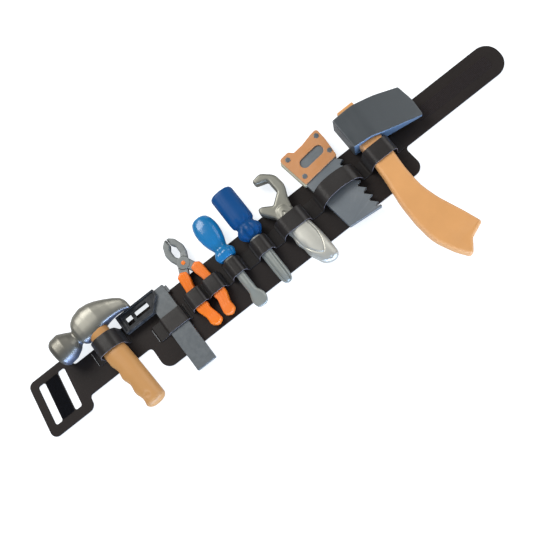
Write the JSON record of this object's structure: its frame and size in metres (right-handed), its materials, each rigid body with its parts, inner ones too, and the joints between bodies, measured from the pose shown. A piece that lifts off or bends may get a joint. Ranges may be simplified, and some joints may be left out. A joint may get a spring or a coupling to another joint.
{
  "type": "toy tool belt",
  "caption": "Child's dark vinyl tool belt laid flat, with slotted buckle end, looped centre panel and round tail, its loops holding plastic toy hand tools.",
  "frame": {"origin": "middle of the wide centre panel along the belt, on the strap's centre line, on the belt's back face", "axes": "+X along the belt from the buckle end towards the round tail, +Y across the belt towards the tool heads (up when worn), +Z out of the face that carries the tools"},
  "size_m": [0.7605, 0.2574, 0.0423],
  "materials": {
    "belt_vinyl": "smooth soft vinyl sheet, matte with a faint sheen",
    "strip_vinyl": "smooth soft vinyl strip, matte with a faint sheen",
    "hook_patch": "black hook-and-loop pile",
    "tail_patch": "dark brown hook-and-loop pile",
    "silver_plastic": "silver-grey metallic moulded plastic, satin",
    "tan_plastic": "tan moulded plastic, satin",
    "light_tan_plastic": "light tan moulded plastic, satin",
    "orange_tan_plastic": "orange-tan moulded plastic, satin",
    "blade_grey_plastic": "blue-grey moulded plastic, satin",
    "slate_plastic": "slate grey moulded plastic, satin",
    "dark_slate_plastic": "dark slate grey moulded plastic, satin",
    "rivet_grey_plastic": "grey moulded plastic, satin",
    "jaw_grey_plastic": "light grey moulded plastic, satin",
    "orange_plastic": "orange moulded plastic, glossy",
    "bright_blue_plastic": "bright blue moulded plastic, glossy",
    "deep_blue_plastic": "deep blue moulded plastic, glossy",
    "shaft_grey_plastic": "grey moulded plastic, satin"
  },
  "bodies": {
    "buckle_end": {"belt_buckle_end": "belt_vinyl", "buckle_hook_patch": "hook_patch"},
    "hammer_section": {"belt_hammer_section": "belt_vinyl", "hammer_loop": "strip_vinyl"},
    "square_section": {"belt_square_section": "belt_vinyl", "square_loop": "strip_vinyl"},
    "pliers_section": {"belt_pliers_section": "belt_vinyl", "pliers_loop": "strip_vinyl"},
    "flat_driver_section": {"belt_flat_driver_section": "belt_vinyl", "flat_driver_loop": "strip_vinyl"},
    "cross_driver_section": {"belt_cross_driver_section": "belt_vinyl", "cross_driver_loop": "strip_vinyl"},
    "wrench_section": {"belt_wrench_section": "belt_vinyl", "wrench_loop": "strip_vinyl"},
    "saw_section": {"belt_saw_section": "belt_vinyl", "saw_loop": "strip_vinyl"},
    "axe_section": {"belt_axe_section": "belt_vinyl", "axe_loop": "strip_vinyl"},
    "tail_base": {"belt_tail_base": "belt_vinyl", "tail_loop_patch_base": "tail_patch"},
    "tail_tip": {"belt_tail_tip": "belt_vinyl", "tail_loop_patch_tip": "tail_patch"},
    "hammer": {"hammer_head": "silver_plastic", "hammer_handle": "tan_plastic"},
    "square": {"square_blade": "blade_grey_plastic", "square_stock": "slate_plastic"},
    "pliers_pivot": {"pliers_pivot_pin": "orange_plastic"},
    "pliers_right": {"pliers_lever_front": "jaw_grey_plastic", "pliers_grip_right": "orange_plastic"},
    "pliers_left": {"pliers_lever_back": "jaw_grey_plastic", "pliers_grip_left": "orange_plastic"},
    "flat_driver": {"flat_driver_handle": "bright_blue_plastic", "flat_driver_shaft": "shaft_grey_plastic"},
    "cross_driver": {"cross_driver_handle": "deep_blue_plastic", "cross_driver_shaft": "shaft_grey_plastic"},
    "wrench": {"wrench": "silver_plastic"},
    "saw": {"saw_blade": "blade_grey_plastic", "saw_front_plate": "orange_tan_plastic", "saw_back_plate": "orange_tan_plastic", "saw_rivets": "rivet_grey_plastic"},
    "axe": {"axe_head": "dark_slate_plastic", "axe_handle": "light_tan_plastic"}
  },
  "joints": [
    {"name": "belt_wrap", "type": "hinge", "parent": "cross_driver_section", "child": "wrench_section", "pos_m": [0.007, 0, 0.0012], "axis": [0, 1, 0], "range_deg": [0, 28]},
    {"name": "wrap_saw_section", "type": "hinge", "parent": "wrench_section", "child": "saw_section", "pos_m": [0.0675, 0, 0.0012], "axis": [0, 1, 0], "range_deg": [0, 28]},
    {"name": "wrap_axe_section", "type": "hinge", "parent": "saw_section", "child": "axe_section", "pos_m": [0.148, 0, 0.0012], "axis": [0, 1, 0], "range_deg": [0, 28]},
    {"name": "wrap_tail_base", "type": "hinge", "parent": "axe_section", "child": "tail_base", "pos_m": [0.215, 0, 0.0012], "axis": [0, 1, 0], "range_deg": [0, 28]},
    {"name": "wrap_tail_tip", "type": "hinge", "parent": "tail_base", "child": "tail_tip", "pos_m": [0.296, 0, 0.0012], "axis": [0, 1, 0], "range_deg": [0, 28]},
    {"name": "wrap_flat_driver_section", "type": "hinge", "parent": "cross_driver_section", "child": "flat_driver_section", "pos_m": [-0.0365, 0, 0.0012], "axis": [0, -1, 0], "range_deg": [0, 28]},
    {"name": "wrap_pliers_section", "type": "hinge", "parent": "flat_driver_section", "child": "pliers_section", "pos_m": [-0.076, 0, 0.0012], "axis": [0, -1, 0], "range_deg": [0, 28]},
    {"name": "wrap_square_section", "type": "hinge", "parent": "pliers_section", "child": "square_section", "pos_m": [-0.1395, 0, 0.0012], "axis": [0, -1, 0], "range_deg": [0, 28]},
    {"name": "wrap_hammer_section", "type": "hinge", "parent": "square_section", "child": "hammer_section", "pos_m": [-0.212, 0, 0.0012], "axis": [0, -1, 0], "range_deg": [0, 28]},
    {"name": "wrap_buckle_end", "type": "hinge", "parent": "hammer_section", "child": "buckle_end", "pos_m": [-0.306, 0, 0.0012], "axis": [0, -1, 0], "range_deg": [0, 28]},
    {"name": "hammer_lift", "type": "slide", "parent": "hammer_section", "child": "hammer", "axis": [-0.0958, 0.9954, 0], "range_m": [0, 0.12]},
    {"name": "square_lift", "type": "slide", "parent": "square_section", "child": "square", "axis": [0, 1, 0], "range_m": [0, 0.112]},
    {"name": "pliers_lift", "type": "slide", "parent": "pliers_section", "child": "pliers_pivot", "axis": [0, 1, 0], "range_m": [0, 0.082]},
    {"name": "flat_driver_lift", "type": "slide", "parent": "flat_driver_section", "child": "flat_driver", "axis": [0, 1, 0], "range_m": [0, 0.1]},
    {"name": "cross_driver_lift", "type": "slide", "parent": "cross_driver_section", "child": "cross_driver", "axis": [0, 1, 0], "range_m": [0, 0.096]},
    {"name": "wrench_lift", "type": "slide", "parent": "wrench_section", "child": "wrench", "axis": [-0.108, 0.9942, 0], "range_m": [0, 0.1]},
    {"name": "saw_lift", "type": "slide", "parent": "saw_section", "child": "saw", "axis": [-0.1045, 0.9945, 0], "range_m": [0, 0.096]},
    {"name": "axe_lift", "type": "slide", "parent": "axe_section", "child": "axe", "axis": [0, 1, 0], "range_m": [0, 0.215], "deforming": ["axe_loop"]},
    {"name": "pliers_open", "type": "hinge", "parent": "pliers_pivot", "child": "pliers_right", "pos_m": [-0.1085, 0.036, 0.0114], "axis": [0, 0, 1], "range_deg": [0, 11], "deforming": ["pliers_loop"]},
    {"name": "pliers_open_left", "type": "hinge", "parent": "pliers_pivot", "child": "pliers_left", "pos_m": [-0.1085, 0.036, 0.0114], "axis": [0, 0, -1], "range_deg": [0, 11], "deforming": ["pliers_loop"]}
  ],
  "couplings": [
    {"joint": "wrap_saw_section", "follows": "belt_wrap", "ratio": 1},
    {"joint": "wrap_axe_section", "follows": "belt_wrap", "ratio": 1},
    {"joint": "wrap_tail_base", "follows": "belt_wrap", "ratio": 1},
    {"joint": "wrap_tail_tip", "follows": "belt_wrap", "ratio": 1},
    {"joint": "wrap_flat_driver_section", "follows": "belt_wrap", "ratio": 1},
    {"joint": "wrap_pliers_section", "follows": "belt_wrap", "ratio": 1},
    {"joint": "wrap_square_section", "follows": "belt_wrap", "ratio": 1},
    {"joint": "wrap_hammer_section", "follows": "belt_wrap", "ratio": 1},
    {"joint": "wrap_buckle_end", "follows": "belt_wrap", "ratio": 1},
    {"joint": "pliers_open_left", "follows": "pliers_open", "ratio": 1}
  ]
}
